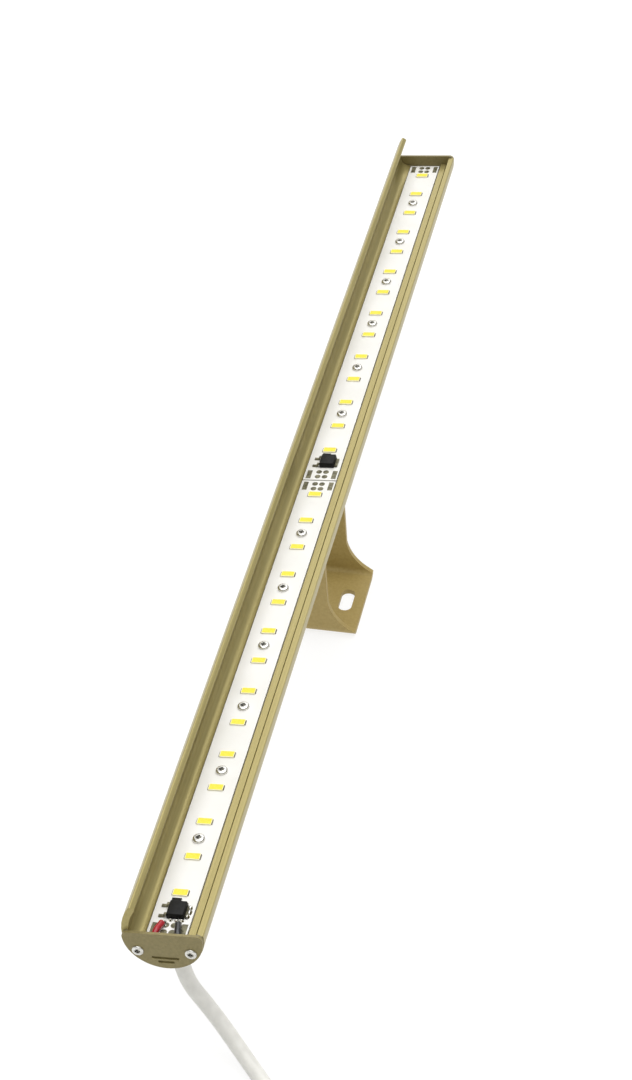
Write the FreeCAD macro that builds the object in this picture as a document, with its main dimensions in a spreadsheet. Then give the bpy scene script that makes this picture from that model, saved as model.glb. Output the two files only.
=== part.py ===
import FreeCAD, Part
import math
import os
import Sketcher

# LED linear light: an extruded aluminium channel with two LED boards, end caps with gaskets,
# a pivot block on the belly that tilts in a folded bracket, and a cable with a two-pin plug.
# X runs along the light, towards the end where the cable leaves. +Z is up, and the underside
# of the bracket is at Z = 0. The light's own axes start in the middle of the boards' top face.

os.makedirs("parts", exist_ok=True)
doc = FreeCAD.newDocument("LedLinearLight")
sheet = doc.addObject("Spreadsheet::Sheet", "Sizes")

SIZES = [
    ("gasket_thick", 0.3), ("cap_thick", 1.0), ("cap_inset", 0.2), ("cap_round", 1.9),
    ("belly_radius", 13.7), ("axis_rise", 3.1), ("shell_wall", 1.5), ("floor_thick", 2.0),
    ("rim_wall", 2.2), ("rim_rise", 1.2), ("rim_edge", 0.45), ("groove_width", 1.6),
    ("groove_depth", 0.9),
    ("ledge_rise", 1.0), ("lip_rise", 0.4), ("lip_width", 0.25), ("cove_rise", 1.6),
    ("fin_radius", 19.9), ("fin_thick", 2.3), ("fin_rise", 12.15), ("fin_tip_round", 0.6),
    ("boss_radius", 1.8), ("boss_drop", 5.9), ("boss_setback", 3.02), ("pilot_radius", 1.25),
    ("board_width", 13.6), ("board_thick", 1.6), ("board_shift", 0.2), ("wire_room", 2.6),
    ("board_play_left", 0.15), ("board_play_right", 0.9), ("board_end_gap", 0.1),
    ("board_joint_gap", 0.7), ("board_hole_radius", 1.5),
    ("led_pitch", 16.8), ("led_start", 9.25), ("led_along", 3.0), ("led_across", 5.2),
    ("led_rise", 0.6), ("led_wall_along", 0.15), ("led_wall_across", 0.3), ("led_cup_depth", 0.35),
    ("led_lens_dip", 0.05), ("led_foot_reach", 0.25), ("led_foot_along", 2.4),
    ("led_foot_rise", 0.35),
    ("board_head_radius", 2.2), ("board_head_rise", 1.1), ("board_screw_tip", 1.4),
    ("head_pit_radius", 1.2), ("head_pit_depth", 0.5), ("head_edge_round", 0.4),
    ("chip_gap", 1.85), ("chip_along", 6.6), ("chip_across", 6.1), ("chip_rise", 2.3),
    ("chip_side_offset", 1.05), ("chip_stand", 0.1), ("chip_edge", 0.3),
    ("lead_pitch", 4.6), ("lead_width", 1.1), ("lead_thick", 0.5), ("lead_knee", 0.8),
    ("lead_foot", 2.0), ("lead_rise", 1.0), ("tab_along", 5.2), ("tab_reach", 1.1),
    ("resistor_gap", 1.0), ("resistor_along", 1.6), ("resistor_across", 3.2),
    ("resistor_rise", 0.55), ("resistor_side_offset", 0.5), ("led_gap", 1.15),
    ("pad_thick", 0.06), ("pad_margin", 0.85), ("pad_along", 5.2), ("pad_across", 1.9),
    ("pad_side", 5.1), ("dot_radius", 1.15), ("dot_first", 2.1), ("dot_step", 3.1),
    ("dot_side", 1.4),
    ("cap_hole_radius", 1.4), ("cap_head_radius", 2.2), ("cap_head_rise", 0.7),
    ("cap_engage", 6.3), ("cap_slot_rise", 1.1), ("cap_slot_depth", 0.6),
    ("cap_slot_one_length", 9.3), ("cap_slot_one_drop", 5.7),
    ("cap_slot_two_length", 5.6), ("cap_slot_two_drop", 7.5),
    ("pivot_gap", 8.5), ("pivot_height", 42.0), ("block_length", 36.8), ("block_width", 9.0),
    ("block_screw_gap", 1.8), ("bolt_radius", 2.0), ("bolt_clearance", 0.2),
    ("block_head_radius", 3.5), ("block_head_rise", 4.0), ("block_seat_thick", 4.4),
    ("block_screw_tip", 1.3), ("hex_pit_radius", 1.7), ("hex_pit_depth", 2.0),
    ("head_clearance", 0.4), ("pilot_spare", 0.9),
    ("nut_plate_length", 34.0), ("nut_plate_width", 8.0), ("nut_plate_thick", 2.5),
    ("cheek_gap", 0.1), ("pin_clearance", 0.1), ("pivot_engage", 6.1),
    ("pivot_head_radius", 3.6), ("pivot_head_rise", 2.6), ("washer_radius", 4.5),
    ("washer_thick", 0.8), ("washer_clearance", 0.15), ("spring_radius", 3.6),
    ("spring_thick", 1.0),
    ("sheet_thick", 2.0), ("bend_radius", 2.0), ("base_half_width", 15.5),
    ("eye_radius", 4.5), ("neck_half_top", 4.0), ("neck_half_foot", 4.75),
    ("neck_lift", 14.6), ("flare_radius", 20.0), ("flare_lift", 0.5),
    ("slot_length", 13.2), ("slot_width", 5.5), ("slot_side", 8.2),
    ("cable_radius", 2.75), ("cable_hole_distance", 13.1), ("grommet_wall", 1.05),
    ("cable_end_depth", 0.8), ("grommet_clearance", 0.05), ("grommet_flange_reach", 1.35),
    ("grommet_flange_thick", 1.1), ("grommet_lip_reach", 0.55),
    ("grommet_lip_thick", 0.85), ("grommet_lip_gap", 0.1),
    ("wire_radius", 1.1), ("wire_side", 1.2), ("wire_ceiling_gap", 0.4),
    ("wire_over_board", 2.4), ("wire_on_board", 0.1),
    ("notch_margin", 0.9), ("notch_half_width", 6.0),
    ("coil_radius", 33.0), ("coil_step", 3.6), ("coil_layer", 6.2), ("coil_straight", 5.5),
    ("coil_check_step", 1.0),
    ("tie_width", 3.0), ("tie_thick", 0.6), ("tie_play", 0.35), ("tie_head", 4.2),
    ("plug_radius", 7.0), ("plug_body_length", 20.0), ("plug_taper_length", 16.0),
    ("plug_taper_radius", 3.4), ("plug_shroud_radius", 5.6), ("plug_shroud_wall", 1.0),
    ("plug_shroud_length", 9.0), ("plug_rib_width", 1.4), ("plug_rib_depth", 0.6),
    ("plug_rib_pitch", 3.2), ("pin_radius", 0.9), ("pin_length", 6.5), ("pin_side", 2.0),
    ("overrun", 1.0),
]
for row, (alias, value) in enumerate(SIZES, 1):
    cell = "A%d" % row
    sheet.set(cell, "%g" % value)
    sheet.setAlias(cell, alias)
doc.recompute()

LEDS_PER_BOARD = 14
SCREWS_PER_BOARD = 6
GRIP_RIBS = 4
REST_TILT = 5.0

# A run's share that each tangent arc takes, on both sides of its point.
TURN_SHARE = 0.45

# The cable's chosen route below the light, in millimetres in the standing frame. It starts on the
# hole's own axis, hangs free, turns along the floor and reaches the coil.
CABLE_ROUTE = [(236.0, 0.73, 33.7), (236.0, 9.72, 14.6), (245.96, 23.82, 2.75),
               (263.4, 38.8, 3.35), (286.2, 38.8, 3.35)]
COIL_START = (320.0, 38.8, 3.35)
TAIL_ROUTE = [(338.0, 38.8, 9.55), (356.0, 38.8, 7.0), (368.0, 38.8, 7.0)]

# The wires' chosen places: the side, how far across they drop, how far across they are soldered,
# and how far back along the board that is.
WIRE_ROUTES = [("wire_red", -1, 3.7, 2.5, 6.4), ("wire_black", 1, 4.5, 3.0, 6.2)]


class Size:
    """A length that is a number for placing and a formula for binding."""

    def __init__(self, mm, text):
        self.mm = mm
        self.text = text

    def __add__(self, other):
        return Size(self.mm + other.mm, "(%s + %s)" % (self.text, other.text))

    def __sub__(self, other):
        return Size(self.mm - other.mm, "(%s - %s)" % (self.text, other.text))

    def __mul__(self, other):
        if isinstance(other, Size):
            return Size(self.mm * other.mm, "(%s * %s)" % (self.text, other.text))
        return Size(self.mm * other, "(%s * %g)" % (self.text, other))

    def __truediv__(self, other):
        if isinstance(other, Size):
            return Size(self.mm / other.mm, "(%s / %s)" % (self.text, other.text))
        return Size(self.mm / other, "(%s / %g)" % (self.text, other))

    def __neg__(self):
        return Size(-self.mm, "(0 - %s)" % self.text)


class Sizes:
    """The spreadsheet's cells by name."""

    def __getattr__(self, name):
        return Size(float(sheet.get(name)), "Sizes.%s" % name)


def leg(long_side, short_side):
    """The other leg of a right triangle."""
    square = long_side * long_side - short_side * short_side
    return Size(math.sqrt(square.mm), "sqrt(%s)" % square.text)


z = Sizes()
NONE = Size(0.0, "0")

# Bodies, sketches and features.


def new_body(label):
    body = doc.addObject("PartDesign::Body", label)
    body.Label = label
    body.AllowCompound = True
    return body


def origin_piece(body, role):
    return [o for o in body.Origin.OriginFeatures if o.Role == role][0]


def new_sketch(body, plane, offset):
    sk = body.newObject("Sketcher::SketchObject", "Sketch")
    sk.AttachmentSupport = [(origin_piece(body, plane), "")]
    sk.MapMode = "FlatFace"
    sk.setExpression("AttachmentOffset.Base.z", offset.text)
    return sk


def fix_point(sk, gi, pos, point):
    for kind, axis, value in (("DistanceX", -2, point[0]), ("DistanceY", -1, point[1])):
        if abs(value.mm) < 1e-9:
            sk.addConstraint(Sketcher.Constraint("PointOnObject", gi, pos, axis))
        else:
            c = sk.addConstraint(Sketcher.Constraint(kind, -1, 1, gi, pos, value.mm))
            sk.setExpression("Constraints[%d]" % c, value.text)


def vec(point):
    return FreeCAD.Vector(point[0].mm, point[1].mm, 0)


def outline(body, plane, offset, loop):
    """A closed outline. Each step is (end point) or (end point, radius, centre)."""
    sk = new_sketch(body, plane, offset)
    steps = [step if len(step) == 3 else (step, None, None) for step in loop]
    here = steps[-1][0]
    ends = []
    for end, radius, centre in steps:
        a, b = vec(here), vec(end)
        first, last = 1, 2
        if radius is None:
            sk.addGeometry(Part.LineSegment(a, b))
        else:
            c = vec(centre)
            out = (a - c) + (b - c)
            mid = c + out.normalize() * radius.mm
            if (a - c).cross(b - c).z < 0:
                a, b = b, a
                first, last = 2, 1
            sk.addGeometry(Part.Arc(a, mid, b))
        ends.append((first, last))
        here = end
    count = len(steps)
    for gi in range(count):
        nxt = (gi + 1) % count
        sk.addConstraint(Sketcher.Constraint("Coincident", gi, ends[gi][1], nxt, ends[nxt][0]))
    for gi, (end, radius, centre) in enumerate(steps):
        fix_point(sk, gi, ends[gi][1], end)
        if radius is not None:
            c = sk.addConstraint(Sketcher.Constraint("Radius", gi, radius.mm))
            sk.setExpression("Constraints[%d]" % c, radius.text)
    return sk


def box_loop(x0, x1, y0, y1):
    return [(x0, y0), (x1, y0), (x1, y1), (x0, y1)]


def rectangle(body, plane, offset, x0, x1, y0, y1):
    return outline(body, plane, offset, box_loop(x0, x1, y0, y1))


def circles(body, plane, offset, places, radius):
    sk = new_sketch(body, plane, offset)
    for place in places:
        circle = Part.Circle(vec(place), FreeCAD.Vector(0, 0, 1), radius.mm)
        gi = sk.addGeometry(circle)
        c = sk.addConstraint(Sketcher.Constraint("Radius", gi, radius.mm))
        sk.setExpression("Constraints[%d]" % c, radius.text)
        fix_point(sk, gi, 3, place)
    return sk


def pad(body, sk, length, backwards=False):
    feature = body.newObject("PartDesign::Pad", "Pad")
    feature.Profile = sk
    feature.Reversed = backwards
    feature.setExpression("Length", length.text)
    body.Tip = feature
    return feature


def pocket(body, sk, length, forwards=False):
    feature = body.newObject("PartDesign::Pocket", "Pocket")
    feature.Profile = sk
    feature.Reversed = forwards
    feature.setExpression("Length", length.text)
    body.Tip = feature
    return feature


def turned(body, sk, axis):
    feature = body.newObject("PartDesign::Revolution", "Turned")
    feature.Profile = sk
    feature.ReferenceAxis = (origin_piece(body, axis), [""])
    feature.Angle = 360.0
    body.Tip = feature
    return feature


def row_of(body, features, axis, step, count):
    feature = body.newObject("PartDesign::LinearPattern", "Row")
    feature.Originals = features
    feature.Direction = (origin_piece(body, axis), [""])
    feature.setExpression("Length", (step * (count - 1)).text)
    feature.Occurrences = count
    body.Tip = feature
    return feature


def round_edges(body, test, radius):
    """Round the edges of the last feature whose middle passes the test."""
    doc.recompute()
    base = body.Tip
    names = []
    for n, edge in enumerate(base.Shape.Edges, 1):
        a, b = edge.ParameterRange
        if test(edge, edge.valueAt((a + b) / 2)):
            names.append("Edge%d" % n)
    feature = body.newObject("PartDesign::Fillet", "Round")
    feature.Base = (base, names)
    feature.setExpression("Radius", radius.text)
    body.Tip = feature
    return feature


# Places that several pieces share, in the light's own axes.

belly_bottom = z.axis_rise - z.belly_radius
chip_end = z.pad_margin + z.pad_along + z.chip_gap + z.chip_along / 2
resistor_end = chip_end + z.chip_along / 2 + z.resistor_gap + z.resistor_along / 2
led_end = resistor_end + z.resistor_along / 2 + z.led_gap + z.led_along / 2
board_length = z.led_start + z.led_pitch * (LEDS_PER_BOARD - 1) + led_end
profile_length = z.board_end_gap + board_length * 2 + z.board_joint_gap + z.wire_room
half_profile = profile_length / 2
gasket_face = half_profile + z.gasket_thick
light_end = gasket_face + z.cap_thick
shell_inner = z.belly_radius - z.shell_wall
cavity_top = -(z.board_thick + z.floor_thick)
cavity_bottom = z.axis_rise - shell_inner
slot_left = -(z.board_width / 2 + z.board_shift + z.board_play_left)
slot_right = z.board_width / 2 - z.board_shift + z.board_play_right
rim_top = z.axis_rise + z.rim_rise
cap_radius = z.belly_radius - z.cap_inset
cap_top = z.axis_rise + z.cap_round
boss_height = z.axis_rise - z.boss_drop
boss_side = leg(z.belly_radius - z.boss_setback, z.boss_drop)
pivot_depth = z.belly_radius + z.pivot_gap - z.axis_rise
block_half = z.block_width / 2
cable_x = half_profile - z.cable_hole_distance
far_board = -half_profile + z.board_end_gap
near_board = far_board + board_length + z.board_joint_gap
block_screw_side = z.block_length / 2 - z.pivot_engage - z.block_screw_gap - z.block_head_radius
cheek_inner = z.block_length / 2 + z.cheek_gap
cheek_outer = cheek_inner + z.sheet_thick
grommet_bore = z.cable_radius + z.grommet_clearance
grommet_neck = grommet_bore + z.grommet_wall
cable_hole = grommet_neck + z.grommet_clearance


def light_placement():
    turn = FreeCAD.Rotation(FreeCAD.Vector(1, 0, 0), REST_TILT)
    base = FreeCAD.Vector(0, 0, z.pivot_height.mm)
    base = base + turn.multVec(FreeCAD.Vector(0, 0, pivot_depth.mm))
    return FreeCAD.Placement(base, turn)


LIGHT = light_placement()
FLOOR = FreeCAD.Placement()
pieces = []


def keep(obj, placement):
    obj.Placement = placement
    pieces.append(obj)
    return obj


def make_feature(label, shape, placement):
    obj = doc.addObject("Part::Feature", label)
    obj.Label = label
    obj.Shape = shape
    return keep(obj, placement)


# The extruded channel: a half-round belly, a slot for the boards, a grooved ledge and a rim
# on one side, and the tall curved fin on the other, in one outline.


def make_profile():
    body = new_body("profile_body")
    axis = (NONE, z.axis_rise)
    fin_inner = z.fin_radius - z.fin_thick
    fin_centre = (z.fin_radius - z.belly_radius, z.axis_rise)
    tip_leg = leg(z.fin_radius, z.fin_rise)
    tip_outer = (fin_centre[0] - tip_leg, z.axis_rise + z.fin_rise)
    tip_inner = (fin_centre[0] - tip_leg * fin_inner / z.fin_radius,
                 z.axis_rise + z.fin_rise * fin_inner / z.fin_radius)
    cove_end = (fin_centre[0] - leg(fin_inner, z.cove_rise), z.axis_rise + z.cove_rise)
    cove_start = (slot_left - z.lip_width, z.lip_rise)
    run = cove_start[0] - cove_end[0]
    climb = cove_end[1] - cove_start[1]
    cove_radius = (run * run + climb * climb) / (climb * 2)
    cove_centre = (cove_start[0], z.lip_rise + cove_radius)
    rim_inner = z.belly_radius - z.rim_wall
    ledge_end = rim_inner - z.groove_width
    corner = (z.belly_radius - z.rim_edge, rim_top - z.rim_edge)
    loop = [
        ((NONE, belly_bottom), z.belly_radius, axis),
        ((z.belly_radius, z.axis_rise), z.belly_radius, axis),
        (z.belly_radius, corner[1]),
        ((corner[0], rim_top), z.rim_edge, corner),
        (rim_inner, rim_top),
        (rim_inner, z.ledge_rise - z.groove_depth),
        (ledge_end, z.ledge_rise - z.groove_depth),
        (ledge_end, z.ledge_rise),
        (slot_right, z.ledge_rise),
        (slot_right, -z.board_thick),
        (slot_left, -z.board_thick),
        (slot_left, z.lip_rise),
        cove_start,
        (cove_end, cove_radius, cove_centre),
        (tip_inner, fin_inner, fin_centre),
        tip_outer,
        ((-z.belly_radius, z.axis_rise), z.fin_radius, fin_centre),
    ]
    pad(body, outline(body, "YZ_Plane", -half_profile, loop), profile_length)

    top = leg(shell_inner, z.axis_rise - cavity_top)
    cavity = [
        ((NONE, cavity_bottom), shell_inner, axis),
        ((top, cavity_top), shell_inner, axis),
        (-top, cavity_top),
    ]
    through = profile_length + z.overrun * 2
    sk = outline(body, "YZ_Plane", half_profile + z.overrun, cavity)
    pocket(body, sk, through)
    ports = [(boss_side, boss_height), (-boss_side, boss_height)]
    sk = circles(body, "YZ_Plane", -half_profile, ports, z.boss_radius)
    pad(body, sk, profile_length)
    sk = circles(body, "YZ_Plane", half_profile + z.overrun, ports, z.pilot_radius)
    pocket(body, sk, through)

    # Holes for the board screws, the pivot block's screws and the cable, and the wires' notch.
    for start in (far_board, near_board):
        sk = circles(body, "XY_Plane", -z.board_thick + z.overrun,
                     [(first_screw(start), NONE)], z.pilot_radius)
        cut = pocket(body, sk, z.floor_thick + z.overrun * 2)
        row_of(body, [cut], "X_Axis", z.led_pitch * 2, SCREWS_PER_BOARD)
    below = belly_bottom - z.overrun
    places = [(block_screw_side, NONE), (-block_screw_side, NONE)]
    sk = circles(body, "XY_Plane", below, places, z.bolt_radius + z.bolt_clearance)
    pocket(body, sk, z.shell_wall + z.overrun * 2, True)
    sk = circles(body, "XY_Plane", below, [(cable_x, NONE)], cable_hole)
    pocket(body, sk, z.shell_wall + z.overrun * 3, True)
    sk = rectangle(body, "XY_Plane", z.overrun, half_profile - z.wire_room - z.notch_margin,
                   half_profile + z.overrun, -z.notch_half_width, z.notch_half_width)
    pocket(body, sk, z.overrun - cavity_top + z.overrun)
    tips = (tip_outer, tip_inner)

    def on_tip(edge, middle):
        if abs(middle.x) > 1e-3:
            return False
        gaps = [math.hypot(middle.y - a.mm, middle.z - b.mm) for a, b in tips]
        return min(gaps) < 1e-3

    round_edges(body, on_tip, z.fin_tip_round)
    return keep(body, LIGHT)


def first_screw(start):
    return start + z.led_start + z.led_pitch * 1.5


def cap_loop():
    """The belly, a little smaller, with a flat top and two rounded corners."""
    axis = (NONE, z.axis_rise)
    right = (cap_radius - z.cap_round, z.axis_rise)
    left = (-right[0], z.axis_rise)
    return [
        ((NONE, z.axis_rise - cap_radius), cap_radius, axis),
        ((cap_radius, z.axis_rise), cap_radius, axis),
        ((right[0], cap_top), z.cap_round, right),
        (left[0], cap_top),
        ((-cap_radius, z.axis_rise), z.cap_round, left),
    ]


def make_ends(side, sign):
    """A gasket, a cap with its two slots, and the two cap screws at one end."""
    ports = [(boss_side, boss_height), (-boss_side, boss_height)]

    def plane(distance):
        return distance * sign

    def plate(label, start, thick):
        body = new_body(label)
        sk = outline(body, "YZ_Plane", plane(start), cap_loop())
        pad(body, sk, thick, sign < 0)
        sk = circles(body, "YZ_Plane", plane(start - z.overrun), ports, z.cap_hole_radius)
        pocket(body, sk, thick + z.overrun * 2, sign > 0)
        return body

    gasket = plate("end_gasket_" + side, half_profile, z.gasket_thick)
    sk = rectangle(gasket, "YZ_Plane", plane(half_profile - z.overrun),
                   z.fin_thick - z.belly_radius, z.belly_radius - z.rim_wall,
                   NONE, cap_top + z.overrun)
    pocket(gasket, sk, z.gasket_thick + z.overrun * 2, sign > 0)
    keep(gasket, LIGHT)
    cap = plate("end_cap_" + side, gasket_face, z.cap_thick)
    slots = ((z.cap_slot_one_length, z.cap_slot_one_drop),
             (z.cap_slot_two_length, z.cap_slot_two_drop))
    for length, drop in slots:
        end = z.cap_slot_rise / 2
        flat = length / 2 - end
        loop = [
            (flat, -drop - end),
            ((flat + end, -drop), end, (flat, -drop)),
            ((flat, -drop + end), end, (flat, -drop)),
            (-flat, -drop + end),
            ((-flat - end, -drop), end, (-flat, -drop)),
            ((-flat, -drop - end), end, (-flat, -drop)),
        ]
        sk = outline(cap, "YZ_Plane", plane(light_end - z.cap_slot_depth), loop)
        pocket(cap, sk, z.cap_slot_depth + z.overrun, sign > 0)
    keep(cap, LIGHT)

    screws = new_body("cap_screws_" + side)
    sk = circles(screws, "YZ_Plane", plane(half_profile - z.cap_engage), ports,
                 z.pilot_radius)
    pad(screws, sk, light_end - half_profile + z.cap_engage, sign < 0)
    sk = circles(screws, "YZ_Plane", plane(light_end), ports, z.cap_head_radius)
    pad(screws, sk, z.cap_head_rise, sign < 0)
    sk = circles(screws, "YZ_Plane", plane(light_end + z.cap_head_rise - z.head_pit_depth),
                 ports, z.head_pit_radius)
    pocket(screws, sk, z.head_pit_depth + z.overrun, sign > 0)
    outer = light_end + z.cap_head_rise

    def on_rim(edge, middle):
        flat = abs(abs(middle.x) - outer.mm) < 1e-3
        return flat and edge.Curve.Radius > z.head_pit_radius.mm * 1.2

    round_edges(screws, on_rim, z.head_edge_round)
    keep(screws, LIGHT)


# One LED board with what is soldered and screwed to it.


def make_board(side, start):
    end = start + board_length
    left = -(z.board_width / 2 + z.board_shift)
    right = z.board_width / 2 - z.board_shift
    screw = first_screw(start)
    led = start + z.led_start

    board = new_body("led_board_" + side)
    sk = rectangle(board, "XY_Plane", -z.board_thick, start, end, left, right)
    pad(board, sk, z.board_thick)
    sk = circles(board, "XY_Plane", z.overrun, [(screw, NONE)], z.board_hole_radius)
    cut = pocket(board, sk, z.board_thick + z.overrun * 2)
    row_of(board, [cut], "X_Axis", z.led_pitch * 2, SCREWS_PER_BOARD)
    keep(board, LIGHT)

    half_along = z.led_along / 2
    half_across = z.led_across / 2
    cup_along = half_along - z.led_wall_along
    cup_across = half_across - z.led_wall_across
    package = new_body("led_packages_" + side)
    sk = rectangle(package, "XY_Plane", NONE, led - half_along, led + half_along,
                   -half_across, half_across)
    block = pad(package, sk, z.led_rise)
    sk = rectangle(package, "XY_Plane", z.led_rise + z.overrun, led - cup_along,
                   led + cup_along, -cup_across, cup_across)
    cup = pocket(package, sk, z.led_cup_depth + z.overrun)
    row_of(package, [block, cup], "X_Axis", z.led_pitch, LEDS_PER_BOARD)
    keep(package, LIGHT)

    window = new_body("led_windows_" + side)
    sk = rectangle(window, "XY_Plane", z.led_rise - z.led_cup_depth, led - cup_along,
                   led + cup_along, -cup_across, cup_across)
    fill = pad(window, sk, z.led_cup_depth - z.led_lens_dip)
    row_of(window, [fill], "X_Axis", z.led_pitch, LEDS_PER_BOARD)
    keep(window, LIGHT)

    feet = new_body("led_terminals_" + side)
    half_foot = z.led_foot_along / 2
    reach = half_across + z.led_foot_reach
    sk = rectangle(feet, "XY_Plane", NONE, led - half_foot, led + half_foot,
                   half_across, reach)
    one = pad(feet, sk, z.led_foot_rise)
    sk = rectangle(feet, "XY_Plane", NONE, led - half_foot, led + half_foot,
                   -reach, -half_across)
    two = pad(feet, sk, z.led_foot_rise)
    row_of(feet, [one, two], "X_Axis", z.led_pitch, LEDS_PER_BOARD)
    keep(feet, LIGHT)

    screws = new_body("board_screws_" + side)
    sk = circles(screws, "XY_Plane", NONE, [(screw, NONE)], z.pilot_radius)
    shank = pad(screws, sk, z.board_screw_tip - cavity_top, True)
    sk = circles(screws, "XY_Plane", NONE, [(screw, NONE)], z.board_head_radius)
    head = pad(screws, sk, z.board_head_rise)
    sk = circles(screws, "XY_Plane", z.board_head_rise + z.overrun, [(screw, NONE)],
                 z.head_pit_radius)
    pit = pocket(screws, sk, z.head_pit_depth + z.overrun)
    row_of(screws, [shank, head, pit], "X_Axis", z.led_pitch * 2, SCREWS_PER_BOARD)

    def on_head(edge, middle):
        flat = abs(middle.z - z.board_head_rise.mm) < 1e-3
        return flat and edge.Curve.Radius > z.head_pit_radius.mm * 1.2

    round_edges(screws, on_head, z.head_edge_round)
    keep(screws, LIGHT)

    # The driver: a flat power package with two bent leads on one side and a tab on the other.
    centre = end - chip_end
    low = z.chip_side_offset - z.chip_across / 2
    high = z.chip_side_offset + z.chip_across / 2
    chip = new_body("driver_chip_" + side)
    sk = rectangle(chip, "XY_Plane", z.chip_stand, centre - z.chip_along / 2,
                   centre + z.chip_along / 2, low, high)
    pad(chip, sk, z.chip_rise - z.chip_stand)

    def on_lid(edge, middle):
        return abs(middle.z - z.chip_rise.mm) < 1e-3

    round_edges(chip, on_lid, z.chip_edge)
    keep(chip, LIGHT)

    leads = new_body("chip_leads_" + side)
    knee = low - z.lead_knee
    foot = knee - z.lead_foot
    loop = [
        (low, z.lead_rise),
        (low, z.lead_rise + z.lead_thick),
        (knee, z.lead_rise + z.lead_thick),
        (knee - z.lead_thick, z.lead_thick),
        (foot, z.lead_thick),
        (foot, NONE),
        (knee, NONE),
        (knee + z.lead_thick, z.lead_rise),
    ]
    sk = outline(leads, "YZ_Plane", centre - z.lead_pitch / 2 - z.lead_width / 2, loop)
    lead = pad(leads, sk, z.lead_width)
    row_of(leads, [lead], "X_Axis", z.lead_pitch, 2)
    sk = rectangle(leads, "XY_Plane", NONE, centre - z.tab_along / 2,
                   centre + z.tab_along / 2, high, high + z.tab_reach)
    pad(leads, sk, z.lead_thick)
    keep(leads, LIGHT)

    resistor = new_body("chip_resistor_" + side)
    middle = end - resistor_end
    sk = rectangle(resistor, "XY_Plane", NONE, middle - z.resistor_along / 2,
                   middle + z.resistor_along / 2,
                   -z.resistor_side_offset - z.resistor_across / 2,
                   -z.resistor_side_offset + z.resistor_across / 2)
    pad(resistor, sk, z.resistor_rise)
    keep(resistor, LIGHT)

    # Solder pads at both ends: two long ones by the edges and four round ones between them.
    pads = new_body("solder_pads_" + side)
    for edge, way in ((start, 1), (end, -1)):
        a = edge + z.pad_margin * way
        b = edge + (z.pad_margin + z.pad_along) * way
        if way < 0:
            a, b = b, a
        for lower in (z.pad_side - z.pad_across / 2, -z.pad_side - z.pad_across / 2):
            sk = rectangle(pads, "XY_Plane", NONE, a, b, lower, lower + z.pad_across)
            pad(pads, sk, z.pad_thick)
        dots = []
        for n in range(2):
            for dot_side in (z.dot_side, -z.dot_side):
                dots.append((edge + (z.dot_first + z.dot_step * n) * way, dot_side))
        sk = circles(pads, "XY_Plane", NONE, dots, z.dot_radius)
        pad(pads, sk, z.pad_thick)
    keep(pads, LIGHT)


# The pivot block on the belly, its screws into a plate inside, and the pivot's own hardware.


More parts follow.
